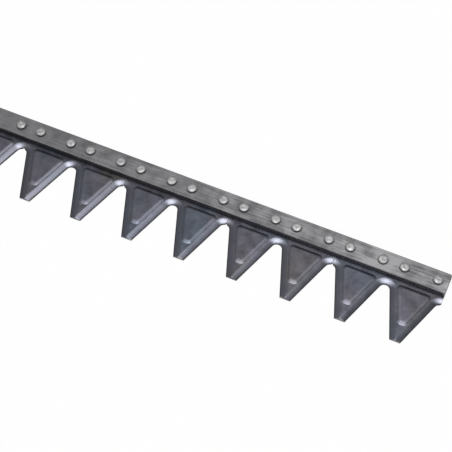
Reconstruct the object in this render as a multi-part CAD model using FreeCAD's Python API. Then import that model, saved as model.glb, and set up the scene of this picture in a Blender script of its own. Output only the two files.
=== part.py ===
import FreeCAD, Part
import math
import os

# Knife of a sickle bar mower. A flat steel bar carries a row of two-tooth cutting sections
# on its underside, and four rivets hold each section: domed heads on the bar's top, and
# countersunk heads flush with the section's underside.
# Axes: +X along the bar, +Y to the back of the knife, +Z up. The teeth point to -Y.
# The origin is the middle of the knife's bounding box, in the plane of the undersides.
# All sizes are in millimetres.

# Row of teeth
tooth_pitch = 50.8
teeth_per_section = 2
section_count = 10

# Tooth and gullet, measured forward from the line of the rivets
tooth_reach = 65.5
tip_width = 9.9
gullet_floor = 17.5
gullet_radius = 4.7

# Section blank
section_thickness = 3.0
joint_gap = 0.6
joint_corner = 1.0
back_setback = 0.5

# Bevel along flanks and gullets: a gentle slope, then a steeper ground edge at the rim. The blunt
# tips aren't bevelled: the bevels of a tooth's two flanks meet in a ridge that the tip crops.
bevel_width = 5.8
bevel_drop = 0.8
ground_edge_width = 1.8
ground_edge_drop = 0.7

# Raised triangular panel on each tooth, with walls that slope in from its foot. The foot starts
# panel_back forward of the rivet line, and ends panel_from_tip short of the tooth's tip.
panel_back = 13.7
panel_from_tip = 16.4
panel_inset = 6.5
panel_height = 0.6
side_wall_run = 2.4
back_wall_run = 2.2
nose_wall_run = 3.6
foot_corner_radius = 3.2
top_corner_radius = 1.6

# Bar
bar_width = 20.0
bar_thickness = 7.0
bar_edge_radius = 0.6
bar_end_radius = 1.5

# Rivets, one on each side of every gullet and every joint
rivet_from_gullet = 10.0
shank_diameter = 5.0
head_diameter = 9.0
head_height = 2.7
head_rim = 1.7
sunk_head_diameter = 9.0
sunk_head_depth = 2.0
rivet_clearance = 0.05

# How far a cut runs past the metal
overrun = 1.0

# Worked out from the sizes above
section_pitch = tooth_pitch * teeth_per_section
section_half = section_pitch / 2 - joint_gap / 2
knife_length = section_pitch * section_count
rivet_line_y = (tooth_reach - bar_width / 2) / 2
tip_y = rivet_line_y - tooth_reach
gullet_floor_y = rivet_line_y - gullet_floor
gullet_centre_y = gullet_floor_y - gullet_radius
bar_front_y = rivet_line_y - bar_width / 2
section_back_y = bar_front_y + bar_width - back_setback
bar_top_z = section_thickness + bar_thickness
shank_radius = shank_diameter / 2
hole_radius = shank_radius + rivet_clearance


def flank_slope():
    """Angle between a tooth's flank and the Y axis, for a flank that just touches the gullet's arc."""
    run = (tooth_pitch - tip_width) / 2
    rise = gullet_centre_y - tip_y
    return math.atan2(run, rise) - math.asin(gullet_radius / math.hypot(run, rise))


def tooth_half_width(y, inset):
    """Half of a tooth's width at y, between flanks moved into the metal by inset."""
    slope = flank_slope()
    return tip_width / 2 + (y - tip_y) * math.tan(slope) - inset / math.cos(slope)


def line(start, end):
    return Part.LineSegment(start, end).toShape()


def on_circle(centre, radius, angle):
    return centre + FreeCAD.Vector(radius * math.cos(angle), radius * math.sin(angle), 0)


def arc(centre, radius, first_angle, last_angle):
    middle_angle = (first_angle + last_angle) / 2
    points = [on_circle(centre, radius, angle) for angle in (first_angle, middle_angle, last_angle)]
    return Part.Arc(*points).toShape()


def point_y(inset):
    """Y of the point where a tooth's two flanks would meet, with both moved into the metal by inset."""
    slope = flank_slope()
    return tip_y + (inset / math.cos(slope) - tip_width / 2) / math.tan(slope)


def section_wire(inset, z):
    """Closed outline of a section at height z, with pointed teeth, and its cutting side moved in by inset."""
    slope = flank_slope()
    radius = gullet_radius + inset
    joint_angle = math.acos(joint_gap / 2 / radius)
    edges = []
    corner = FreeCAD.Vector(-section_half, section_back_y, z)
    for gullet in range(teeth_per_section + 1):
        centre = FreeCAD.Vector(gullet * tooth_pitch - section_pitch / 2, gullet_centre_y, z)
        first_angle = math.pi - slope if gullet > 0 else joint_angle
        last_angle = slope if gullet < teeth_per_section else math.pi - joint_angle
        edges.append(line(corner, on_circle(centre, radius, first_angle)))
        edges.append(arc(centre, radius, first_angle, last_angle))
        corner = on_circle(centre, radius, last_angle)
        if gullet < teeth_per_section:
            point = FreeCAD.Vector(centre.x + tooth_pitch / 2, point_y(inset), z)
            edges.append(line(corner, point))
            corner = point
    back_right = FreeCAD.Vector(section_half, section_back_y, z)
    back_left = FreeCAD.Vector(-section_half, section_back_y, z)
    edges.append(line(corner, back_right))
    edges.append(line(back_right, back_left))
    return Part.Wire(edges)


def tip_cropper():
    """Block that crops the pointed teeth to their blunt tips."""
    front_y = point_y(0) - overrun
    corner = FreeCAD.Vector(-section_half - overrun, front_y, -overrun)
    width = 2 * (section_half + overrun)
    return Part.makeBox(width, tip_y - front_y, section_thickness + 2 * overrun, corner)


def section_blank():
    """A section with its bevel and pointed teeth, before its corners, holes and panels."""
    rim_z = section_thickness - bevel_drop - ground_edge_drop
    ground_z = section_thickness - bevel_drop
    rim = Part.Face(section_wire(0, 0)).extrude(FreeCAD.Vector(0, 0, rim_z))
    ground = Part.makeLoft([section_wire(0, rim_z), section_wire(ground_edge_width, ground_z)], True, True)
    slope = Part.makeLoft(
        [section_wire(ground_edge_width, ground_z), section_wire(bevel_width, section_thickness)],
        True,
        True,
    )
    return rim.fuse([ground, slope]).removeSplitter()


def corner_cutter(side):
    """Wedge that takes off the blank's corner beside a joint: side is -1 at its left end, 1 at its right."""
    reach = joint_corner + overrun
    points = [
        FreeCAD.Vector(side * (section_half - reach), gullet_floor_y - overrun, -overrun),
        FreeCAD.Vector(side * (section_half + overrun), gullet_floor_y - overrun, -overrun),
        FreeCAD.Vector(side * (section_half + overrun), gullet_floor_y + reach, -overrun),
    ]
    wedge = Part.Face(Part.makePolygon(points + points[:1]))
    return wedge.extrude(FreeCAD.Vector(0, 0, section_thickness + 2 * overrun))


def rounded_wire(corners, radius):
    """Closed wire through the corners of a convex outline, each rounded to the same radius."""
    edges = []
    previous_end = None
    for index, corner in enumerate(corners):
        back = (corners[index - 1] - corner).normalize()
        ahead = (corners[(index + 1) % len(corners)] - corner).normalize()
        half_angle = back.getAngle(ahead) / 2
        setback = radius / math.tan(half_angle)
        middle = corner + (back + ahead).normalize() * (radius / math.sin(half_angle) - radius)
        start = corner + back * setback
        if previous_end is not None:
            edges.append(line(previous_end, start))
        previous_end = corner + ahead * setback
        edges.append(Part.Arc(start, middle, previous_end).toShape())
    edges.append(line(previous_end, edges[0].valueAt(edges[0].FirstParameter)))
    return Part.Wire(edges)


def panel_wire(tooth_x, z, back_run, nose_run, side_run, radius):
    """Outline of a tooth's panel at height z, moved in from its foot by the given runs."""
    back_y = rivet_line_y - panel_back - back_run
    nose_y = tip_y + panel_from_tip + nose_run
    back_half = tooth_half_width(back_y, panel_inset + side_run)
    nose_half = tooth_half_width(nose_y, panel_inset + side_run)
    corners = [
        FreeCAD.Vector(tooth_x - back_half, back_y, z),
        FreeCAD.Vector(tooth_x + back_half, back_y, z),
        FreeCAD.Vector(tooth_x + nose_half, nose_y, z),
        FreeCAD.Vector(tooth_x - nose_half, nose_y, z),
    ]
    return rounded_wire(corners, radius)


def panel(tooth_x):
    foot = panel_wire(tooth_x, section_thickness, 0, 0, 0, foot_corner_radius)
    top_z = section_thickness + panel_height
    top = panel_wire(tooth_x, top_z, back_wall_run, nose_wall_run, side_wall_run, top_corner_radius)
    return Part.makeLoft([foot, top], True, True)


def tooth_places():
    """X of each tooth's middle, from the middle of its section."""
    first = (tooth_pitch - section_pitch) / 2
    return [first + tooth_pitch * tooth for tooth in range(teeth_per_section)]


def rivet_places():
    """X of each rivet, from the middle of its section."""
    to_rivet = tooth_pitch / 2 - rivet_from_gullet
    return [tooth_x + side * to_rivet for tooth_x in tooth_places() for side in (-1, 1)]


def sunk_hole(x):
    """Cutter for a section's rivet hole, with its countersink in the underside."""
    at = FreeCAD.Vector(x, rivet_line_y, -overrun)
    widening = (sunk_head_diameter / 2 - shank_radius) / sunk_head_depth
    mouth_radius = sunk_head_diameter / 2 + rivet_clearance + widening * overrun
    through = Part.makeCylinder(hole_radius, section_thickness + 2 * overrun, at)
    return through.fuse(Part.makeCone(mouth_radius, hole_radius, sunk_head_depth + overrun, at))


def section():
    body = section_blank().cut([tip_cropper(), corner_cutter(-1), corner_cutter(1)])
    body = body.cut([sunk_hole(x) for x in rivet_places()])
    return body.fuse([panel(x) for x in tooth_places()]).removeSplitter()


def rivet(x):
    """One rivet, turned about its own axis: sunk head, shank and domed head."""
    outline = [
        FreeCAD.Vector(0, 0, 0),
        FreeCAD.Vector(sunk_head_diameter / 2, 0, 0),
        FreeCAD.Vector(shank_radius, 0, sunk_head_depth),
        FreeCAD.Vector(shank_radius, 0, bar_top_z),
        FreeCAD.Vector(head_diameter / 2, 0, bar_top_z),
        FreeCAD.Vector(head_diameter / 2, 0, bar_top_z + head_rim),
    ]
    crown = FreeCAD.Vector(0, 0, bar_top_z + head_height)
    rise = head_height - head_rim
    dome_radius = ((head_diameter / 2) ** 2 + rise**2) / (2 * rise)
    half_way = math.asin(head_diameter / 2 / dome_radius) / 2
    shoulder = crown - FreeCAD.Vector(0, 0, dome_radius * (1 - math.cos(half_way)))
    shoulder.x = dome_radius * math.sin(half_way)
    edges = [line(start, end) for start, end in zip(outline, outline[1:])]
    edges.append(Part.Arc(outline[-1], shoulder, crown).toShape())
    edges.append(line(crown, outline[0]))
    turned = Part.Face(Part.Wire(edges)).revolve(FreeCAD.Vector(), FreeCAD.Vector(0, 0, 1), 360)
    turned.translate(FreeCAD.Vector(x, rivet_line_y, 0))
    return turned


def section_places():
    """X of each section's middle along the knife."""
    first = (section_pitch - knife_length) / 2
    return [first + section_pitch * index for index in range(section_count)]


def bar():
    """The bar: ends rounded in plan, long edges eased, a hole for every rivet."""
    corner = FreeCAD.Vector(-knife_length / 2, bar_front_y, section_thickness)
    flat = Part.makeBox(knife_length, bar_width, bar_thickness, corner)
    upright = [edge for edge in flat.Edges if abs(edge.tangentAt(0).z) > 0.5]
    flat = flat.makeFillet(bar_end_radius, upright)
    level = [edge for edge in flat.Edges if abs(edge.tangentAt(edge.FirstParameter).z) < 0.5]
    flat = flat.makeFillet(bar_edge_radius, level)
    holes = []
    for section_x in section_places():
        for x in rivet_places():
            at = FreeCAD.Vector(section_x + x, rivet_line_y, section_thickness - overrun)
            holes.append(Part.makeCylinder(hole_radius, bar_thickness + 2 * overrun, at))
    return flat.cut(holes)


os.makedirs("parts", exist_ok=True)
bar().exportStep("parts/knife_bar.step")
for number, section_x in enumerate(section_places(), 1):
    shift = FreeCAD.Vector(section_x, 0, 0)
    placed_section = section()
    placed_section.translate(shift)
    placed_section.exportStep(f"parts/section_{number:02d}.step")
    group = Part.makeCompound([rivet(x) for x in rivet_places()])
    group.translate(shift)
    group.exportStep(f"parts/section_rivets_{number:02d}.step")
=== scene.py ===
import math

import bmesh
import bpy
from mathutils import Matrix, Vector, geometry


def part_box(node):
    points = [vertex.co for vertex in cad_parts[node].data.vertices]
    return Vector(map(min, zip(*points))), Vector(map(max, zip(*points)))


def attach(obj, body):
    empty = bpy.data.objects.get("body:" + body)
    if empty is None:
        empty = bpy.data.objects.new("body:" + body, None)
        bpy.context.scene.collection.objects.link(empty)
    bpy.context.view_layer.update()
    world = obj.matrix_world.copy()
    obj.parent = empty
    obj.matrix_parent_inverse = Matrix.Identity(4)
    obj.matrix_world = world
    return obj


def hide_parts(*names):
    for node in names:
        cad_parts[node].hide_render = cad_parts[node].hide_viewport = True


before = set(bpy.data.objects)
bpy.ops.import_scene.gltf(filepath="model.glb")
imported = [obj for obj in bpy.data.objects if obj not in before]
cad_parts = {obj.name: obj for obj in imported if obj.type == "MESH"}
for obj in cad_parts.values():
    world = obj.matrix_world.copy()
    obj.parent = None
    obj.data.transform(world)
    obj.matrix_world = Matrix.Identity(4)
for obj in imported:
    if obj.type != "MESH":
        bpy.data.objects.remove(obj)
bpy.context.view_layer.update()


# Floor: the pale sheet that the knife lies on, wide enough for every view. It is white in the picture and in
# the steel's reflections, and part of that white is the sheet's own lit surface, so the knife's shadow shows.
floor_half_width = 6.0
floor_paper = (0.98, 0.98, 0.98, 1.0)
floor_evenness = 0.92


def add_node(tree, kind, inputs=None, **settings):
    """A new node. Each input is given by its name or number, as a value or as the socket that feeds it."""
    made = tree.nodes.new(kind)
    for name, value in settings.items():
        setattr(made, name, value)
    for key, value in (inputs or {}).items():
        if isinstance(value, bpy.types.NodeSocket):
            tree.links.new(value, made.inputs[key])
        else:
            made.inputs[key].default_value = value
    return made


def new_material(name):
    """An empty material and its node tree."""
    material = bpy.data.materials.new(name)
    material.use_nodes = True
    material.node_tree.nodes.clear()
    return material, material.node_tree


def pale_floor():
    material, tree = new_material("pale floor")
    ray = add_node(tree, "ShaderNodeLightPath")
    seen = add_node(
        tree, "ShaderNodeMath", {0: ray.outputs["Is Camera Ray"], 1: ray.outputs["Is Glossy Ray"]}, operation="ADD"
    )
    through = add_node(
        tree, "ShaderNodeMath", {0: seen.outputs[0], 1: ray.outputs["Is Transmission Ray"]}, operation="ADD"
    )
    share = add_node(tree, "ShaderNodeMath", {0: through.outputs[0], 1: floor_evenness}, operation="MULTIPLY")
    paper = add_node(tree, "ShaderNodeBsdfDiffuse", {"Color": floor_paper})
    white = add_node(tree, "ShaderNodeEmission")
    mix = add_node(tree, "ShaderNodeMixShader", {"Fac": share.outputs[0], 1: paper.outputs[0], 2: white.outputs[0]})
    add_node(tree, "ShaderNodeOutputMaterial", {"Surface": mix.outputs[0]})
    return material


def add_object(name, mesh):
    made = bpy.data.objects.new(name, mesh)
    bpy.context.scene.collection.objects.link(made)
    return made


floor_mesh = bpy.data.meshes.new("floor")
floor_corners = [(-1, -1), (1, -1), (1, 1), (-1, 1)]
floor_points = [(x * floor_half_width, y * floor_half_width, 0) for x, y in floor_corners]
floor_mesh.from_pydata(floor_points, [], [(0, 1, 2, 3)])
floor_mesh.materials.append(pale_floor())
add_object("floor", floor_mesh)


# Light: a round softbox high over the knife, a dim one to its left and behind, and an even room that fills
# the shadows.
softbox_place = Vector((0.33, 0.0, 5.0))
softbox_diameter = 2.5
softbox_power = 156.0
fill_place = Vector((-1.5, 0.8, 2.5))
fill_diameter = 1.8
fill_power = 2.2
lit_middle = Vector((0.3, 0.0, 0.0))
room_strength = 0.33


def add_softbox(name, place, diameter, power, aim):
    """A round lamp that faces a point."""
    lamp = bpy.data.lights.new(name, "AREA")
    lamp.shape = "DISK"
    lamp.size = diameter
    lamp.energy = power
    made = add_object(name, lamp)
    made.location = place
    made.rotation_euler = (aim - place).to_track_quat("-Z", "Y").to_euler()


add_softbox("softbox", softbox_place, softbox_diameter, softbox_power, Vector((softbox_place.x, softbox_place.y, 0)))
add_softbox("fill", fill_place, fill_diameter, fill_power, lit_middle)

room = bpy.data.worlds.new("room")
room.use_nodes = True
room.node_tree.nodes["Background"].inputs["Color"].default_value = (1, 1, 1, 1)
room.node_tree.nodes["Background"].inputs["Strength"].default_value = room_strength
bpy.context.scene.world = room


# Camera: a long lens held above and in front of the knife's right half, turned a little to the left.
# Azimuth is the turn from the knife's +Y axis, and elevation the angle that the lens looks down by.
camera_place = Vector((0.5573, -0.5772, 1.1319))
camera_azimuth = math.radians(23.262)
camera_elevation = math.radians(60.562)
camera_roll = math.radians(0.04)
camera_lens = 115.59
nearest_seen = 0.01

camera_data = bpy.data.cameras.new("camera")
camera_data.lens = camera_lens
camera_data.clip_start = nearest_seen
camera = add_object("camera", camera_data)
turn = Matrix.Rotation(camera_azimuth, 4, "Z")
tilt = Matrix.Rotation(math.pi / 2 - camera_elevation, 4, "X")
roll = Matrix.Rotation(camera_roll, 4, "Z")
camera.matrix_world = Matrix.Translation(camera_place) @ turn @ tilt @ roll
bpy.context.scene.camera = camera
bpy.context.scene.view_settings.view_transform = "Standard"


# Knife bar: the flat steel bar that all the sections are riveted to. It is cut from rolled stock, so fine
# streaks run along it. It is mottled, darker towards its left end and lighter towards its right. Its
# ends are rubbed bright and its edges a little, partly as a painted highlight there. Its sides below the
# top are coloured dark as painted shade, and a ring of painted shade darkens the steel round the rivets.
mm = 0.001
teeth_per_section = 2
section_count = 10
rivet_from_gullet = 10.0 * mm
head_diameter = 9.0 * mm
section_low, section_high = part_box("section_01")
section_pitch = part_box("section_02")[0].x - section_low.x
tooth_pitch = section_pitch / teeth_per_section
rivets_low, rivets_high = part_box("section_rivets_01")
rivet_line_y = (rivets_low.y + rivets_high.y) / 2
bar_low, bar_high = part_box("knife_bar")

bar_scale_colour = (0.150, 0.148, 0.158, 1.0)
bar_rubbed_colour = (0.33, 0.325, 0.335, 1.0)
bar_bright_colour = (0.50, 0.49, 0.49, 1.0)
bar_rivet_ring_shade_colour = (0.085, 0.083, 0.088, 1.0)
bar_side_shade_colour = (0.095, 0.093, 0.098, 1.0)
bar_bright_share = 0.7
bar_rivet_ring_shade_share = 0.75
bar_side_shade_share = 0.8
bar_roughness = (0.36, 0.50)
bar_edge_roughness = 0.2
bar_relief_height = 0.03 * mm
streak_relief = 0.7
grain_relief = 0.3

# Each range of a noise is paired with the wear that it stands for, from bare scale at 0 to rubbed steel at 1.
streaks_per_metre = (24.0, 520.0, 520.0)
streak_range, streak_wear = (0.40, 0.62), (-0.04, 0.48)
mottle_per_metre = 85.0
mottle_range, mottle_wear = (0.38, 0.66), (0.0, 0.40)
patches_per_metre = 22.0
patch_range, patch_wear = (0.45, 0.65), (-0.06, 0.34)
middle_wear = 0.5
lighter_to_right_x = (0.10, 0.42)
lighter_to_right_wear = (-0.24, 0.10)
lighter_to_right_unevenness = (0.40, 1.5)
scratches_per_metre = (35.0, 1900.0, 1900.0)
scratch_range = (0.60, 0.72)
scratched_patches = (0.46, 0.60)
grain_per_metre = 1500.0
middle_of_noise = (0.3, 0.7)
worn_and_sheen_edge = 0.75 * mm
worn_and_sheen_edge_mottle, worn_and_sheen_edge_share = (0.40, 0.58), (0.0, 0.3)
worn_and_sheen_end = 4.0 * mm
worn_and_sheen_end_mottle = (0.46, 0.58)
side_shade_below_top = (0.5 * mm, 1.5 * mm)
rivet_ring_shade_width = 0.9 * mm
rivet_ring_shade_below_top = (0.3 * mm, 0.1 * mm)


def object_place(tree):
    return add_node(tree, "ShaderNodeTexCoord").outputs["Object"]


def noise(tree, place, per_metre, detail=3.0, roughness=0.55, seed=0.0):
    """Noise at a place. per_metre is how many waves a metre holds, or one such number for each axis."""
    if not isinstance(per_metre, float):
        place = add_node(tree, "ShaderNodeMapping", {"Vector": place, "Scale": per_metre}).outputs[0]
        per_metre = 1.0
    made = add_node(
        tree,
        "ShaderNodeTexNoise",
        {"Vector": place, "W": seed, "Scale": per_metre, "Detail": detail, "Roughness": roughness},
        noise_dimensions="4D",
    )
    return made.outputs["Fac"]


def spread(tree, value, low, high, to_low=0.0, to_high=1.0):
    """The value's range from low to high, stretched to another range and cut off at its ends."""
    ends = {"From Min": low, "From Max": high, "To Min": to_low, "To Max": to_high}
    return add_node(tree, "ShaderNodeMapRange", {"Value": value, **ends}).outputs["Result"]


def calc(tree, operation, first, second=0.0):
    return add_node(tree, "ShaderNodeMath", {0: first, 1: second}, operation=operation).outputs[0]


def both(tree, *shares):
    """Product of shares."""
    product = shares[0]
    for share in shares[1:]:
        product = calc(tree, "MULTIPLY", product, share)
    return product


def either(tree, *shares):
    """Largest of shares."""
    largest = shares[0]
    for share in shares[1:]:
        largest = calc(tree, "MAXIMUM", largest, share)
    return largest


def blend_colours(tree, share, first, second):
    mix = add_node(tree, "ShaderNodeMix", data_type="RGBA")
    for socket, value in ((mix.inputs[0], share), (mix.inputs[6], first), (mix.inputs[7], second)):
        if isinstance(value, bpy.types.NodeSocket):
            tree.links.new(value, socket)
        else:
            socket.default_value = value
    return mix.outputs[2]


def bare_steel(tree, colour, roughness, relief, relief_height):
    """Bare metal with the given colour and roughness sockets, and a relief of that height in metres."""
    bump = add_node(tree, "ShaderNodeBump", {"Height": relief, "Distance": relief_height, "Strength": 1.0})
    metal = add_node(
        tree,
        "ShaderNodeBsdfPrincipled",
        {"Base Color": colour, "Metallic": 1.0, "Roughness": roughness, "Normal": bump.outputs[0]},
    )
    add_node(tree, "ShaderNodeOutputMaterial", {"Surface": metal.outputs[0]})


def past_rivet(tree, place):
    """Distance from the edge of the nearest rivet's head, seen from above."""
    axes = add_node(tree, "ShaderNodeSeparateXYZ", {0: place}).outputs
    from_gullet = calc(tree, "PINGPONG", axes["X"], tooth_pitch / 2)
    aside = calc(tree, "SUBTRACT", from_gullet, rivet_from_gullet)
    ahead = calc(tree, "SUBTRACT", axes["Y"], rivet_line_y)
    away = calc(tree, "SQRT", calc(tree, "ADD", both(tree, aside, aside), both(tree, ahead, ahead)))
    return calc(tree, "SUBTRACT", away, head_diameter / 2)


def rolled_steel():
    material, tree = new_material("rolled bar steel")
    place = object_place(tree)
    axes = add_node(tree, "ShaderNodeSeparateXYZ", {0: place}).outputs
    streaks = noise(tree, place, streaks_per_metre, detail=4.0, roughness=0.65)
    scratches = noise(tree, place, scratches_per_metre, detail=2.0, seed=13.0)
    mottle = noise(tree, place, mottle_per_metre, detail=4.0, seed=3.0)
    patches = noise(tree, place, patches_per_metre, detail=3.0, seed=21.0)
    grain = noise(tree, place, grain_per_metre, detail=2.0, seed=7.0)
    worn = spread(tree, streaks, *streak_range, *streak_wear)
    worn = calc(tree, "ADD", worn, spread(tree, mottle, *mottle_range, *mottle_wear))
    worn = calc(tree, "ADD", worn, spread(tree, patches, *patch_range, *patch_wear))
    # The colour is darker towards the bar's left end, and lighter and more uneven towards its right.
    unevenness = spread(tree, axes["X"], *lighter_to_right_x, *lighter_to_right_unevenness)
    worn = calc(tree, "ADD", both(tree, calc(tree, "SUBTRACT", worn, middle_wear), unevenness), middle_wear)
    lighter_to_right = spread(tree, axes["X"], *lighter_to_right_x, *lighter_to_right_wear)
    colour = blend_colours(tree, calc(tree, "ADD", worn, lighter_to_right), bar_scale_colour, bar_rubbed_colour)
    scratched = both(tree, spread(tree, scratches, *scratch_range), spread(tree, patches, *scratched_patches))

    from_line = calc(tree, "ABSOLUTE", calc(tree, "SUBTRACT", axes["Y"], rivet_line_y))
    from_side = calc(tree, "SUBTRACT", (bar_high.y - bar_low.y) / 2, from_line)
    from_top = calc(tree, "SUBTRACT", bar_high.z, axes["Z"])
    from_edge = calc(tree, "ADD", from_side, from_top)
    from_end = calc(tree, "SUBTRACT", bar_high.x, calc(tree, "ABSOLUTE", axes["X"]))
    # The bar's top edges are patchily coloured bright: rubbed steel, and partly a painted highlight along the edge.
    edge = both(
        tree,
        spread(tree, from_edge, worn_and_sheen_edge, 0.3 * worn_and_sheen_edge),
        spread(tree, mottle, *worn_and_sheen_edge_mottle, *worn_and_sheen_edge_share),
    )
    # The last few millimetres at each end are patchily coloured bright: rubbed steel, and partly a painted highlight
    # standing in for a lit end chamfer.
    end = both(tree, spread(tree, from_end, worn_and_sheen_end, 0.0), spread(tree, mottle, *worn_and_sheen_end_mottle))
    bright = either(tree, scratched, edge, end)
    colour = blend_colours(tree, both(tree, bright, bar_bright_share), colour, bar_bright_colour)
    # Painted shade: below its top the bar's sides are coloured darker, standing in for the shade on its front face.
    side = spread(tree, from_top, *side_shade_below_top)
    colour = blend_colours(tree, both(tree, side, bar_side_shade_share), colour, bar_side_shade_colour)
    # Painted shade: a dark ring on the bar's top round each rivet head, where the head meets the bar.
    rivet_ring_shade = both(tree, spread(tree, past_rivet(tree, place), rivet_ring_shade_width, 0.0), spread(tree, from_top, *rivet_ring_shade_below_top))
    colour = blend_colours(tree, both(tree, rivet_ring_shade, bar_rivet_ring_shade_share), colour, bar_rivet_ring_shade_colour)
    at_edge = spread(tree, from_edge, 2 * worn_and_sheen_edge, worn_and_sheen_edge)
    roughness = spread(tree, mottle, *middle_of_noise, *bar_roughness)
    roughness = calc(tree, "ADD", roughness, both(tree, at_edge, bar_edge_roughness))
    relief = calc(tree, "ADD", both(tree, streaks, streak_relief), both(tree, grain, grain_relief))
    bare_steel(tree, colour, roughness, relief, bar_relief_height)
    return material


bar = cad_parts["knife_bar"]
bar.data.materials.clear()
bar.data.materials.append(rolled_steel())


# Cutting sections: plates of hardened steel, pressed with two teeth each. Flanks and gullets are ground to
# a bevel, and each tooth carries a raised triangular panel that stiffens it.
plate_thickness = 3.0 * mm
tip_width = 9.9 * mm
gullet_floor = 17.5 * mm
gullet_radius = 4.7 * mm
joint_corner = 1.0 * mm
edge_break = 0.12 * mm

bevel_width = 5.8 * mm
bevel_land_slope = math.tan(math.radians(9.0))
bevel_rim_slope = math.tan(math.radians(20.5))
gullet_round_width = 7.0 * mm
gullet_rim_slope = math.tan(math.radians(23.3))
gullet_sweep = math.radians(60.0)

panel_back = 13.7 * mm
panel_from_tip = 15.8 * mm
panel_inset = 6.4 * mm
side_wall_run = 3.4 * mm
back_wall_run = 2.6 * mm
nose_wall_run = 4.4 * mm
foot_corner_radius = 3.2 * mm
nose_corner_radius = 4.0 * mm
top_corner_radius = 1.6 * mm
top_nose_radius = 1.5 * mm

joint_gap = 0.25 * mm
section_half = (section_pitch - joint_gap) / 2
panel_height = section_high.z - plate_thickness
tip_y = section_low.y
back_y = section_high.y
gullet_floor_y = rivet_line_y - gullet_floor
gullet_centre_y = gullet_floor_y - gullet_radius
tip_to_gullet = Vector(((tooth_pitch - tip_width) / 2, gullet_centre_y - tip_y))
flank_slope = math.atan2(tip_to_gullet.x, tip_to_gullet.y) - math.asin(gullet_radius / tip_to_gullet.length)

outline_step = 1.0 * mm
arc_step = math.radians(7.5)
bevel_lines_mm = [line * 0.6 for line in range(1, 9)] + [5.4, 5.65, 5.95, 6.2, 7.0, 7.6]
beyond_wall = 0.12
wall_shares = [-beyond_wall, 0.0, 0.12, 0.28, 0.46, 0.66, 0.85, 1.0, 1 + beyond_wall]
corner_steps = 8
side_steps = 30
clear_of_panel = 0.25 * mm
closest_points_mm = 0.001


def stations(start, end, step):
    """Values from start towards end, about a step apart, without the end."""
    count = max(1, round(abs(end - start) / step))
    return [start + (end - start) * index / count for index in range(count)]


def line_points(start, end, step):
    return [start.lerp(end, share) for share in stations(0, 1, step / (end - start).length)]


def gullet_x(gullet):
    """X of a gullet's middle, from the middle of its section. The first and the last are the joints' half gullets."""
    return (gullet - teeth_per_section / 2) * tooth_pitch


def arc_points(gullet, radius, first_angle, last_angle):
    centre = Vector((gullet_x(gullet), gullet_centre_y))
    angles = stations(first_angle, last_angle, arc_step) + [last_angle]
    return [centre + radius * Vector((math.cos(angle), math.sin(angle))) for angle in angles]


def plan_outline():
    """Outline of a section seen from above, anticlockwise from its left back corner."""
    corner_share = (joint_corner + joint_gap / 2 + gullet_radius) / (math.sqrt(2) * gullet_radius)
    meets_corner = math.radians(135) - math.acos(corner_share)
    corner_y = gullet_floor_y + joint_corner
    land_y = gullet_floor_y + gullet_round_width
    left_side = [Vector((-section_half, y)) for y in (back_y, land_y, corner_y)]
    points = line_points(left_side[0], left_side[1], 4 * outline_step)
    points += line_points(left_side[1], left_side[2], outline_step / 2) + [left_side[2]]
    for gullet in range(teeth_per_section + 1):
        first_angle = math.pi - flank_slope if gullet > 0 else math.pi - meets_corner
        last_angle = flank_slope if gullet < teeth_per_section else meets_corner
        arc = arc_points(gullet, gullet_radius, first_angle, last_angle)
        points += arc
        if gullet < teeth_per_section:
            tooth_x = gullet_x(gullet) + tooth_pitch / 2
            left_tip = Vector((tooth_x - tip_width / 2, tip_y))
            right_tip = Vector((tooth_x + tip_width / 2, tip_y))
            flank_top = arc_points(gullet + 1, gullet_radius, math.pi - flank_slope, math.pi - flank_slope)[0]
            points += line_points(arc[-1], left_tip, outline_step)[1:]
            points += line_points(left_tip, right_tip, outline_step / 2)
            points += line_points(right_tip, flank_top, outline_step)
    right_side = [Vector((section_half, y)) for y in (corner_y, land_y, back_y)]
    points += line_points(right_side[0], right_side[1], outline_step / 2)
    points += line_points(right_side[1], right_side[2], 4 * outline_step) + [right_side[2]]
    return points


def moved_in(outline, distance):
    """The outline's points, moved square to their sides into the plate."""
    moved = []
    for index, point in enumerate(outline):
        behind = (point - outline[index - 1]).normalized()
        ahead = (outline[(index + 1) % len(outline)] - point).normalized()
        normals = Vector((-behind.y, behind.x)) + Vector((-ahead.y, ahead.x))
        moved.append(point + normals * distance / (1 + behind.dot(ahead)))
    return moved


def edge_place(point):
    """Where a plan point lies by the cutting side: its distance from the edge, its distance along the edge from
    the middle of the nearest gullet, and how far round into that gullet it is, from 0 on the flank to 1."""
    gullet = min(range(teeth_per_section + 1), key=lambda index: abs(point.x - gullet_x(index)))
    aside = abs(point.x - gullet_x(gullet))
    ahead = point.y - gullet_centre_y
    angle = math.atan2(ahead, aside)
    quarter = gullet_radius * (math.pi / 2 - flank_slope)
    if angle < flank_slope:
        distance = aside * math.cos(flank_slope) + ahead * math.sin(flank_slope) - gullet_radius
        return distance, quarter + aside * math.sin(flank_slope) - ahead * math.cos(flank_slope), 0.0
    turned = min(1.0, (angle - flank_slope) / gullet_sweep)
    return math.hypot(aside, ahead) - gullet_radius, gullet_radius * (math.pi / 2 - angle), ease(turned)


def ease(share):
    """An S-shaped rise from 0 to 1."""
    return share * share * (3 - 2 * share)


def top_z(point):
    """Height of the plate's top, without its panels."""
    distance, _, into_gullet = edge_place(point)
    on_flank = max(0.0, 1 - distance / bevel_width)
    in_gullet = max(0.0, 1 - distance / gullet_round_width)
    flank_drop = bevel_width * (bevel_land_slope * on_flank + (bevel_rim_slope - bevel_land_slope) * on_flank**2 / 2)
    gullet_drop = gullet_round_width * gullet_rim_slope * in_gullet**2 / 2
    return plate_thickness - flank_drop * (1 - into_gullet) - gullet_drop * into_gullet


def flank_half_width(y, inset):
    """Half of a tooth's width at y, between flanks moved into the metal by inset."""
    return tip_width / 2 + (y - tip_y) * math.tan(flank_slope) - inset / math.cos(flank_slope)


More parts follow.
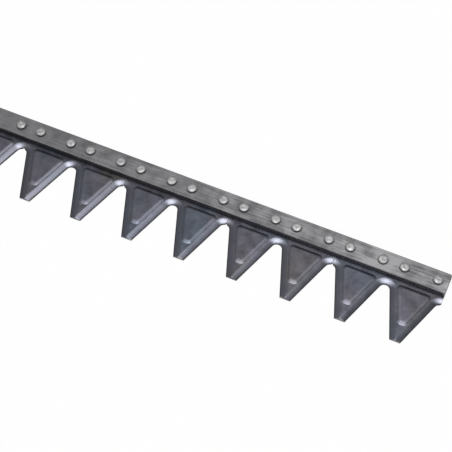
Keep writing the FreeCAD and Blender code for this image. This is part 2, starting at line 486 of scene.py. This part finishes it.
def bevel_line(distance):
    """Points at one distance from the cutting edge, all along a section."""
    points = []
    for gullet in range(teeth_per_section + 1):
        points += arc_points(gullet, gullet_radius + distance, math.pi - flank_slope, flank_slope)
        for side in (-1, 1):
            touch = arc_points(gullet, gullet_radius + distance, flank_slope, flank_slope)[0]
            ridge_y = tip_y + (distance / math.cos(flank_slope) - tip_width / 2) / math.tan(flank_slope)
            end_y = max(ridge_y, tip_y)
            end = Vector((gullet_x(gullet) + tooth_pitch / 2 - flank_half_width(end_y, distance), end_y))
            on_flank = line_points(touch, end, outline_step)[1:]
            if ridge_y > tip_y and side > 0:
                on_flank.append(end)
            for point in on_flank:
                points.append(Vector((gullet_x(gullet) + side * (point.x - gullet_x(gullet)), point.y)))
    return points


def rounded_outline(corners, radii):
    """Points round a convex outline with rounded corners, as many for any size."""
    arcs = []
    for index, (corner, radius) in enumerate(zip(corners, radii)):
        behind = (corners[index - 1] - corner).normalized()
        ahead = (corners[(index + 1) % len(corners)] - corner).normalized()
        half_angle = behind.angle(ahead) / 2
        centre = corner + (behind + ahead).normalized() * radius / math.sin(half_angle)
        start = (corner + behind * radius / math.tan(half_angle) - centre).normalized()
        end = (corner + ahead * radius / math.tan(half_angle) - centre).normalized()
        arcs.append([centre + start.slerp(end, step / corner_steps) * radius for step in range(corner_steps + 1)])
    points = []
    for index, arc in enumerate(arcs):
        following = arcs[(index + 1) % len(arcs)][0]
        points += arc + [arc[-1].lerp(following, step / side_steps) for step in range(1, side_steps)]
    return points


def panel_outline(tooth_x, back_run, nose_run, side_run, back_radius, nose_radius):
    """Outline of a tooth's panel, moved in from its foot by the given runs."""
    panel_back_y = rivet_line_y - panel_back - back_run
    nose_y = tip_y + panel_from_tip + nose_run
    back_half = flank_half_width(panel_back_y, panel_inset + side_run)
    nose_half = flank_half_width(nose_y, panel_inset + side_run)
    corners = [(-back_half, panel_back_y), (-nose_half, nose_y), (nose_half, nose_y), (back_half, panel_back_y)]
    radii = [back_radius, nose_radius, nose_radius, back_radius]
    return rounded_outline([Vector((tooth_x + x, y)) for x, y in corners], radii)


def panel_lines(tooth_x):
    """The panel's wall from foot to top, as outlines with their share of the panel's height."""
    foot = panel_outline(tooth_x, 0, 0, 0, foot_corner_radius, nose_corner_radius)
    top_runs = (back_wall_run, nose_wall_run, side_wall_run)
    top = panel_outline(tooth_x, *top_runs, top_corner_radius, top_nose_radius)
    return [([low + (high - low) * share for low, high in zip(foot, top)], wall_rise(share)) for share in wall_shares]


def wall_rise(share):
    """Share of the panel's height at a share of its wall's run: steepest at the foot, and level at the top."""
    share = min(max(share, 0.0), 1.0)
    return 1 - (1 - share) ** 2


shank_diameter = 5.0 * mm
rivet_clearance = 0.05 * mm
sunk_head_diameter = 9.0 * mm
sunk_head_depth = 2.0 * mm
hole_sides = 40
outer_rivet_x = section_pitch / 2 - rivet_from_gullet
rivet_xs = [-outer_rivet_x, -rivet_from_gullet, rivet_from_gullet, outer_rivet_x]


def circle(x, radius):
    turns = [2 * math.pi * side / hole_sides for side in range(hole_sides)]
    return [Vector((x + radius * math.cos(angle), rivet_line_y + radius * math.sin(angle))) for angle in turns]


def inside(point, outline):
    """Whether a plan point lies inside a closed outline."""
    crossings = 0
    for first, second in zip(outline, outline[1:] + outline[:1]):
        if (first.y > point.y) != (second.y > point.y):
            crossings += first.x + (point.y - first.y) / (second.y - first.y) * (second.x - first.x) > point.x
    return crossings % 2 == 1


def filled_plan(rim, holes, lines, loose):
    """Triangles that fill the rim, apart from the holes, through the points of closed lines and loose points."""
    points, edges = [], []
    for loop in [rim] + holes + lines:
        first = len(points)
        points += loop
        edges += [(first + index, first + (index + 1) % len(loop)) for index in range(len(loop))]
    points += loose
    made = geometry.delaunay_2d_cdt([point / mm for point in points], edges, [], 0, closest_points_mm)
    corners, triangles = [corner * mm for corner in made[0]], made[2]
    kept = []
    for triangle in triangles:
        middle = sum((corners[index] for index in triangle), Vector((0, 0))) / 3
        if inside(middle, rim) and not any(inside(middle, hole) for hole in holes):
            kept.append(triangle)
    return corners, kept, made[3]


def section_mesh():
    """One section round its own middle, as a closed shell."""
    outline = plan_outline()
    rim = moved_in(outline, edge_break)
    well_inside = moved_in(outline, 3 * edge_break)
    panels = [panel_lines(gullet_x(tooth) + tooth_pitch / 2) for tooth in range(teeth_per_section)]
    walls = [line for panel in panels for line in panel]
    loose = [point for line in bevel_lines_mm for point in bevel_line(line * mm) if inside(point, well_inside)]
    round_panels = [moved_in(panel[0][0], -clear_of_panel) for panel in panels]
    loose = [point for point in loose if not any(inside(point, line) for line in round_panels)]
    bores = [circle(x, shank_diameter / 2 + rivet_clearance) for x in rivet_xs]
    mouths = [circle(x, sunk_head_diameter / 2 + rivet_clearance) for x in rivet_xs]
    rises = [0.0] * sum(map(len, [rim] + bores))
    rises += [rise for line, rise in walls for point in line] + [0.0] * len(loose)
    shell = bmesh.new()
    distances = shell.verts.layers.float.new("edge_distance")
    alongs = shell.verts.layers.float.new("edge_along")
    panel_rises = shell.verts.layers.float.new("panel_rise")

    def vertex(point, z, rise=0.0):
        made = shell.verts.new((point.x, point.y, z))
        made[distances], made[alongs] = edge_place(point)[:2]
        made[panel_rises] = rise
        return made

    def band(upper, lower):
        for index in range(len(upper)):
            after = (index + 1) % len(upper)
            shell.faces.new((upper[index], lower[index], lower[after], upper[after]))

    corners, triangles, sources = filled_plan(rim, bores, [line for line, rise in walls], loose)
    top = []
    for corner, source in zip(corners, sources):
        rise = rises[source[0]]
        top.append(vertex(corner, top_z(corner) + panel_height * rise, rise))
    for triangle in triangles:
        shell.faces.new([top[index] for index in triangle])
    of_source = {index: made for made, source in zip(top, sources) for index in source}
    top_rim = [of_source[index] for index in range(len(rim))]
    top_bores = []
    first = len(rim)
    for bore in bores:
        top_bores.append([of_source[first + index] for index in range(len(bore))])
        first += len(bore)

    corners, triangles, sources = filled_plan(rim, mouths, [], [])
    bottom = [vertex(corner, 0.0) for corner in corners]
    for triangle in triangles:
        shell.faces.new([bottom[index] for index in reversed(triangle)])
    of_source = {index: made for made, source in zip(bottom, sources) for index in source}
    bottom_rim = [of_source[index] for index in range(len(rim))]
    first = len(rim)
    for top_bore, mouth, bore in zip(top_bores, mouths, bores):
        bottom_mouth = [of_source[first + index] for index in range(len(mouth))]
        first += len(mouth)
        throat = [vertex(point, sunk_head_depth) for point in bore]
        band(bottom_mouth, throat)
        band(throat, top_bore)
    upper_edge = [vertex(point, above.co.z - edge_break) for point, above in zip(outline, top_rim)]
    lower_edge = [vertex(point, edge_break) for point in outline]
    band(top_rim, upper_edge)
    band(upper_edge, lower_edge)
    band(lower_edge, bottom_rim)

    bmesh.ops.delete(shell, geom=[made for made in shell.verts if not made.link_faces], context="VERTS")
    bmesh.ops.recalc_face_normals(shell, faces=shell.faces)
    mesh = bpy.data.meshes.new("section")
    shell.to_mesh(mesh)
    shell.free()
    return mesh


section_blue = (0.126, 0.142, 0.176, 1.0)
section_violet = (0.150, 0.147, 0.178, 1.0)
section_brown = (0.140, 0.134, 0.138, 1.0)
ground_colour = (0.111, 0.116, 0.138, 1.0)
rim_and_crease_shade_colour = (0.055, 0.056, 0.062, 1.0)
bare_and_sheen_colour = (0.27, 0.27, 0.27, 1.0)
sliding_colour = (0.26, 0.26, 0.27, 1.0)
wall_dark_colour = (0.045, 0.048, 0.056, 1.0)
tints_per_metre = 17.0
tint_by_section = 0.16
violet_tints = (0.40, 0.52)
brown_tints = (0.56, 0.66)
clouds_per_metre = 120.0
cloud_brightness = (0.86, 1.14)
section_grain_per_metre = 700.0
section_grain_relief = 0.1
above_underside = (0.2 * mm, 0.4 * mm)
grinding_per_metre = (1500.0, 110.0, 1.0)
grinding_range, grinding_share = (0.35, 0.65), (0.6, 0.8)
grinding_relief = 0.12
bevel_blend = 0.6 * mm
rim_shade_width = 1.05 * mm
rim_shade_share = 0.8
bare_cut = 0.30 * mm
tip_wear_and_sheen = 1.1 * mm
tip_wear_and_sheen_clouds = (0.5, 0.6)
bare_clouds, bare_share = (0.3, 0.5), (0.5, 1.0)
bare_roughness = 0.12
sliding_per_metre = (30.0, 900.0, 1.0)
sliding_share = (0.4, 1.0)
wall_foot_rises = (0.0, 0.15)
wall_top_rises = (1.0, 0.8)
wall_dark_share = 0.24
wall_roughness = 0.10
nose_dark_from_tip = 21.0 * mm
nose_dark_blend = 1.5 * mm
nose_dark_share = 0.07
crease_shade_width = 0.9 * mm
crease_shade_share = 0.45
section_roughness = (0.27, 0.34)
section_relief_height = 0.012 * mm


def own_value(tree, name):
    """A value that the mesh carries at its points."""
    return add_node(tree, "ShaderNodeAttribute", attribute_name=name).outputs["Fac"]


def hardened_steel():
    material, tree = new_material("hardened section steel")
    place = object_place(tree)
    axes = add_node(tree, "ShaderNodeSeparateXYZ", {0: place}).outputs
    from_edge = own_value(tree, "edge_distance")
    own_tint = both(tree, calc(tree, "SUBTRACT", own_value(tree, "section_shade"), 0.5), tint_by_section)
    tints = calc(tree, "ADD", noise(tree, place, tints_per_metre, detail=2.0, seed=1.0), own_tint)
    clouds = noise(tree, place, clouds_per_metre, detail=4.0, seed=4.0)
    grain = noise(tree, place, section_grain_per_metre, detail=2.0, seed=2.0)
    colour = blend_colours(tree, spread(tree, tints, *violet_tints), section_blue, section_violet)
    colour = blend_colours(tree, spread(tree, tints, *brown_tints), colour, section_brown)
    brightness = spread(tree, clouds, *middle_of_noise, *cloud_brightness)
    cloudy = add_node(tree, "ShaderNodeHueSaturation", {"Color": colour, "Value": brightness})

    along_and_across = add_node(tree, "ShaderNodeCombineXYZ", {0: own_value(tree, "edge_along"), 1: from_edge})
    grinding = noise(tree, along_and_across.outputs[0], grinding_per_metre, detail=2.0, seed=6.0)
    above = spread(tree, axes["Z"], *above_underside)
    ground = both(tree, spread(tree, from_edge, bevel_width, bevel_width - bevel_blend), above)
    ground_share = both(tree, ground, spread(tree, grinding, *grinding_range, *grinding_share))
    colour = blend_colours(tree, ground_share, cloudy.outputs[0], ground_colour)
    # Painted shade: the steel within about a millimetre of the cutting edge is coloured dark, standing in for the
    # shade along the edge.
    rim = both(tree, spread(tree, from_edge, rim_shade_width, 0.4 * rim_shade_width), above)
    colour = blend_colours(tree, both(tree, rim, rim_shade_share), colour, rim_and_crease_shade_colour)

    from_joint = calc(tree, "PINGPONG", axes["X"], section_pitch / 2)
    beside_joint = spread(tree, from_joint, joint_gap / 2 + bare_cut, joint_gap / 2 + 0.5 * bare_cut)
    # The tooth tips are patchily coloured bright: worn bare steel, and partly a painted highlight where the tip's end
    # catches the light.
    by_tip = spread(tree, axes["Y"], tip_y + tip_wear_and_sheen, tip_y + 0.4 * tip_wear_and_sheen)
    tip_wear_and_sheen_mask = both(tree, by_tip, spread(tree, clouds, *tip_wear_and_sheen_clouds))
    bare = both(tree, either(tree, beside_joint, tip_wear_and_sheen_mask), spread(tree, clouds, *bare_clouds, *bare_share))
    colour = blend_colours(tree, bare, colour, bare_and_sheen_colour)
    sliding = noise(tree, place, sliding_per_metre, detail=3.0, seed=8.0)
    underside = calc(tree, "SUBTRACT", 1.0, above)
    slid = both(tree, underside, spread(tree, sliding, *middle_of_noise, *sliding_share))
    colour = blend_colours(tree, slid, colour, sliding_colour)

    rise = own_value(tree, "panel_rise")
    # The panel's walls are coloured darker, and more so at its nose.
    on_wall = both(tree, spread(tree, rise, *wall_foot_rises), spread(tree, rise, *wall_top_rises))
    colour = blend_colours(tree, both(tree, on_wall, wall_dark_share), colour, wall_dark_colour)
    nose_end_y = tip_y + nose_dark_from_tip
    at_nose = both(tree, on_wall, spread(tree, axes["Y"], nose_end_y, nose_end_y - nose_dark_blend))
    colour = blend_colours(tree, both(tree, at_nose, nose_dark_share), colour, wall_dark_colour)
    # Painted shade: a dark line in the crease at the foot of each panel.
    before_foot = spread(tree, from_edge, panel_inset - crease_shade_width, panel_inset - 0.4 * crease_shade_width)
    past_foot = spread(tree, from_edge, panel_inset + 0.6 * crease_shade_width, panel_inset)
    colour = blend_colours(tree, both(tree, before_foot, past_foot, above, crease_shade_share), colour, rim_and_crease_shade_colour)

    roughness = spread(tree, clouds, *middle_of_noise, *section_roughness)
    roughness = calc(tree, "ADD", roughness, both(tree, bare, bare_roughness))
    roughness = calc(tree, "ADD", roughness, both(tree, on_wall, wall_roughness))
    ground_relief = both(tree, grinding, ground, grinding_relief)
    relief = calc(tree, "ADD", both(tree, grain, section_grain_relief), ground_relief)
    bare_steel(tree, colour, roughness, relief, section_relief_height)
    return material


def row_tree():
    """Node tree that sets copies of a section side by side along the bar, each with a shade of its own."""
    tree = bpy.data.node_groups.new("section row", "GeometryNodeTree")
    shape = tree.interface
    shape.new_socket("Section", in_out="INPUT", socket_type="NodeSocketGeometry")
    for name in ("Sections", "Seed"):
        shape.new_socket(name, in_out="INPUT", socket_type="NodeSocketInt")
    for name in ("Pitch", "First Middle"):
        shape.new_socket(name, in_out="INPUT", socket_type="NodeSocketFloat")
    shape.new_socket("Steel", in_out="INPUT", socket_type="NodeSocketMaterial")
    shape.new_socket("Row", in_out="OUTPUT", socket_type="NodeSocketGeometry")
    given = add_node(tree, "NodeGroupInput").outputs
    first = add_node(tree, "ShaderNodeCombineXYZ", {0: given["First Middle"]})
    step = add_node(tree, "ShaderNodeCombineXYZ", {0: given["Pitch"]})
    places = add_node(
        tree,
        "GeometryNodeMeshLine",
        {"Count": given["Sections"], "Start Location": first.outputs[0], "Offset": step.outputs[0]},
        mode="OFFSET",
    )
    copies = add_node(
        tree, "GeometryNodeInstanceOnPoints", {"Points": places.outputs[0], "Instance": given["Section"]}
    )
    shade = add_node(tree, "FunctionNodeRandomValue", {"Seed": given["Seed"]}, data_type="FLOAT")
    shaded = add_node(
        tree,
        "GeometryNodeStoreNamedAttribute",
        {"Geometry": copies.outputs[0], "Name": "section_shade", "Value": shade.outputs[1]},
        data_type="FLOAT",
        domain="INSTANCE",
    )
    real = add_node(tree, "GeometryNodeRealizeInstances", {"Geometry": shaded.outputs[0]})
    steel = add_node(tree, "GeometryNodeSetMaterial", {"Geometry": real.outputs[0], "Material": given["Steel"]})
    add_node(tree, "NodeGroupOutput", {"Row": steel.outputs[0]})
    return tree


crease_angle = math.radians(35.0)


def repeated(made, tree, given):
    """Gives an object the plain mesh that the node tree makes from it and the given inputs."""
    repeat = made.modifiers.new(tree.name, "NODES")
    repeat.node_group = tree
    for socket in tree.interface.items_tree:
        if socket.name in given:
            repeat[socket.identifier] = given[socket.name]
    plain = bpy.data.meshes.new_from_object(made.evaluated_get(bpy.context.evaluated_depsgraph_get()))
    made.modifiers.clear()
    plain.name = made.name
    plain.shade_smooth()
    plain.set_sharp_from_angle(angle=crease_angle)
    made.data = plain


def numbered(name):
    return [f"{name}_{number:02d}" for number in range(1, section_count + 1)]


shade_seed = 5
row_inputs = {
    "Sections": section_count,
    "Pitch": section_pitch,
    "First Middle": (section_low.x + section_high.x) / 2,
    "Seed": shade_seed,
    "Steel": hardened_steel(),
}
sections = add_object("cutting_sections", section_mesh())
repeated(sections, row_tree(), row_inputs)
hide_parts(*numbered("section"))
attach(sections, "root")


# Rivets: four hold each section. Each is a steel pin, headed over on the bar's top into a low dome, and with
# a countersunk head that lies flush in the section's underside.
head_rim = 2.1 * mm
head_easing = 0.2 * mm
dome_fullness = 4.5
dimple_width = 0.5
dimple_depth = 0.15 * mm
hammering = 0.07 * mm
hammer_marks_per_metre = 330.0
rivet_sides = 48
dome_rows = 24
rivet_seed = 4.0
seam_distance = 0.01 * mm
rivet_colour = (0.50, 0.50, 0.505, 1.0)
rivet_dull_colour = (0.30, 0.30, 0.305, 1.0)
rivet_foot_shade_colour = (0.16, 0.16, 0.165, 1.0)
dull_per_metre = 420.0
dull_range = (0.35, 0.65)
rivet_grain_per_metre = 1400.0
head_side_shade = (-1.0 * mm, -0.6 * mm)
rivet_roughness = (0.50, 0.62)
rivet_relief_height = 0.03 * mm


def rivet_tree():
    """Node tree that stands a rivet on each of the mesh's points."""
    tree = bpy.data.node_groups.new("rivets", "GeometryNodeTree")
    shape = tree.interface
    shape.new_socket("Places", in_out="INPUT", socket_type="NodeSocketGeometry")
    for name in ("Head Diameter", "Head Top", "Head Rim", "Easing", "Bar Top", "Shank Diameter", "Sunk Diameter"):
        shape.new_socket(name, in_out="INPUT", socket_type="NodeSocketFloat")
    for name in ("Sunk Depth", "Dome Fullness", "Dimple Width", "Dimple Depth", "Hammering", "Marks", "Seed"):
        shape.new_socket(name, in_out="INPUT", socket_type="NodeSocketFloat")
    for name in ("Sides", "Dome Rows"):
        shape.new_socket(name, in_out="INPUT", socket_type="NodeSocketInt")
    shape.new_socket("Steel", in_out="INPUT", socket_type="NodeSocketMaterial")
    shape.new_socket("Rivets", in_out="OUTPUT", socket_type="NodeSocketGeometry")
    given = add_node(tree, "NodeGroupInput").outputs

    head_radius = calc(tree, "DIVIDE", given["Head Diameter"], 2.0)
    shank_radius = calc(tree, "DIVIDE", given["Shank Diameter"], 2.0)
    sunk_radius = calc(tree, "DIVIDE", given["Sunk Diameter"], 2.0)
    rim_z = calc(tree, "ADD", given["Bar Top"], given["Head Rim"])
    corners = [(0.0, 0.0), (sunk_radius, 0.0), (shank_radius, given["Sunk Depth"])]
    corners += [(shank_radius, given["Bar Top"]), (head_radius, given["Bar Top"])]
    corners += [(head_radius, calc(tree, "SUBTRACT", rim_z, given["Easing"]))]
    dome_foot = calc(tree, "SUBTRACT", head_radius, given["Easing"])
    dome_rise = calc(tree, "SUBTRACT", given["Head Top"], rim_z)

    rows = calc(tree, "ADD", given["Dome Rows"], float(len(corners)))
    columns = calc(tree, "ADD", given["Sides"], 1.0)
    sheet = add_node(
        tree, "GeometryNodeMeshGrid", {"Size X": 1.0, "Size Y": 1.0, "Vertices X": columns, "Vertices Y": rows}
    )
    index = add_node(tree, "GeometryNodeInputIndex").outputs[0]
    column = calc(tree, "FLOOR", calc(tree, "DIVIDE", index, rows))
    row = calc(tree, "SUBTRACT", index, calc(tree, "MULTIPLY", column, rows))
    angle = calc(tree, "MULTIPLY", calc(tree, "DIVIDE", column, given["Sides"]), 2 * math.pi)
    dome_row = calc(tree, "SUBTRACT", row, float(len(corners)))
    dome_share = calc(tree, "DIVIDE", dome_row, calc(tree, "SUBTRACT", given["Dome Rows"], 1.0))
    inward = calc(tree, "SUBTRACT", 1.0, both(tree, dome_share, dome_share))
    dome_radius = both(tree, dome_foot, inward)
    fall = calc(tree, "POWER", inward, given["Dome Fullness"])
    past_dimple = calc(tree, "DIVIDE", inward, given["Dimple Width"])
    in_dimple = calc(tree, "MAXIMUM", calc(tree, "SUBTRACT", 1.0, past_dimple), 0.0)
    dimple = both(tree, in_dimple, in_dimple, given["Dimple Depth"])
    dome_height = calc(tree, "SUBTRACT", both(tree, dome_rise, calc(tree, "SUBTRACT", 1.0, fall)), dimple)
    dome_point = add_node(tree, "ShaderNodeCombineXYZ", {0: dome_radius, 2: calc(tree, "ADD", rim_z, dome_height)})
    pick = add_node(tree, "GeometryNodeIndexSwitch", data_type="VECTOR")
    while len(pick.index_switch_items) < len(corners):
        pick.index_switch_items.new()
    tree.links.new(row, pick.inputs["Index"])
    for number, (radius, z) in enumerate(corners):
        corner = add_node(tree, "ShaderNodeCombineXYZ", {0: radius, 2: z})
        tree.links.new(corner.outputs[0], pick.inputs[str(number)])
    on_dome = calc(tree, "GREATER_THAN", row, len(corners) - 0.5)
    profile = add_node(
        tree,
        "GeometryNodeSwitch",
        {"Switch": on_dome, "False": pick.outputs[0], "True": dome_point.outputs[0]},
        input_type="VECTOR",
    )
    turned = add_node(
        tree,
        "ShaderNodeVectorRotate",
        {"Vector": profile.outputs[0], "Angle": angle},
        rotation_type="Z_AXIS",
    )
    wrapped = add_node(
        tree, "GeometryNodeSetPosition", {"Geometry": sheet.outputs["Mesh"], "Position": turned.outputs[0]}
    )
    closed = add_node(
        tree, "GeometryNodeMergeByDistance", {"Geometry": wrapped.outputs[0], "Distance": seam_distance}
    )

    standing = add_node(
        tree, "GeometryNodeInstanceOnPoints", {"Points": given["Places"], "Instance": closed.outputs[0]}
    )
    real = add_node(tree, "GeometryNodeRealizeInstances", {"Geometry": standing.outputs[0]})
    place = add_node(tree, "GeometryNodeInputPosition").outputs[0]
    marks = add_node(
        tree,
        "ShaderNodeTexNoise",
        {"Vector": place, "W": given["Seed"], "Scale": given["Marks"], "Detail": 1.0},
        noise_dimensions="4D",
    )
    above_rim = add_node(tree, "ShaderNodeMapRange", {"From Min": rim_z, "From Max": given["Head Top"]})
    tree.links.new(add_node(tree, "ShaderNodeSeparateXYZ", {0: place}).outputs["Z"], above_rim.inputs["Value"])
    dent = both(tree, marks.outputs["Fac"], given["Hammering"], above_rim.outputs[0])
    down = add_node(tree, "ShaderNodeCombineXYZ", {2: calc(tree, "MULTIPLY", dent, -1.0)})
    hammered = add_node(tree, "GeometryNodeSetPosition", {"Geometry": real.outputs[0], "Offset": down.outputs[0]})
    steel = add_node(
        tree, "GeometryNodeSetMaterial", {"Geometry": hammered.outputs[0], "Material": given["Steel"]}
    )
    add_node(tree, "NodeGroupOutput", {"Rivets": steel.outputs[0]})
    return tree


def bright_steel():
    material, tree = new_material("bright rivet steel")
    place = object_place(tree)
    dull = noise(tree, place, dull_per_metre, detail=4.0, seed=5.0)
    grain = noise(tree, place, rivet_grain_per_metre, detail=2.0, seed=9.0)
    colour = blend_colours(tree, spread(tree, dull, *dull_range), rivet_colour, rivet_dull_colour)
    axes = add_node(tree, "ShaderNodeSeparateXYZ", {0: place}).outputs
    # Painted shade: the lower part of each head's side, by the bar, is coloured dark.
    foot = spread(tree, axes["Z"], bar_high.z + head_rim, bar_high.z + 0.5 * head_rim)
    side_shade_ring = spread(tree, past_rivet(tree, place), *head_side_shade)
    colour = blend_colours(tree, both(tree, foot, side_shade_ring), colour, rivet_foot_shade_colour)
    roughness = spread(tree, dull, *middle_of_noise, *rivet_roughness)
    bare_steel(tree, colour, roughness, grain, rivet_relief_height)
    return material


rivet_places = []
for node_name in numbered("section_rivets"):
    low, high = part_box(node_name)
    rivet_places += [((low.x + high.x) / 2 + x, rivet_line_y, 0.0) for x in rivet_xs]
places_mesh = bpy.data.meshes.new("rivet places")
places_mesh.from_pydata(rivet_places, [], [])
rivet_inputs = {
    "Head Diameter": head_diameter,
    "Head Top": rivets_high.z,
    "Head Rim": head_rim,
    "Easing": head_easing,
    "Bar Top": bar_high.z,
    "Shank Diameter": shank_diameter,
    "Sunk Diameter": sunk_head_diameter,
    "Sunk Depth": sunk_head_depth,
    "Dome Fullness": dome_fullness,
    "Dimple Width": dimple_width,
    "Dimple Depth": dimple_depth,
    "Hammering": hammering,
    "Marks": hammer_marks_per_metre,
    "Seed": rivet_seed,
    "Sides": rivet_sides,
    "Dome Rows": dome_rows,
    "Steel": bright_steel(),
}
rivets = add_object("rivets", places_mesh)
repeated(rivets, rivet_tree(), rivet_inputs)
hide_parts(*numbered("section_rivets"))
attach(rivets, "root")
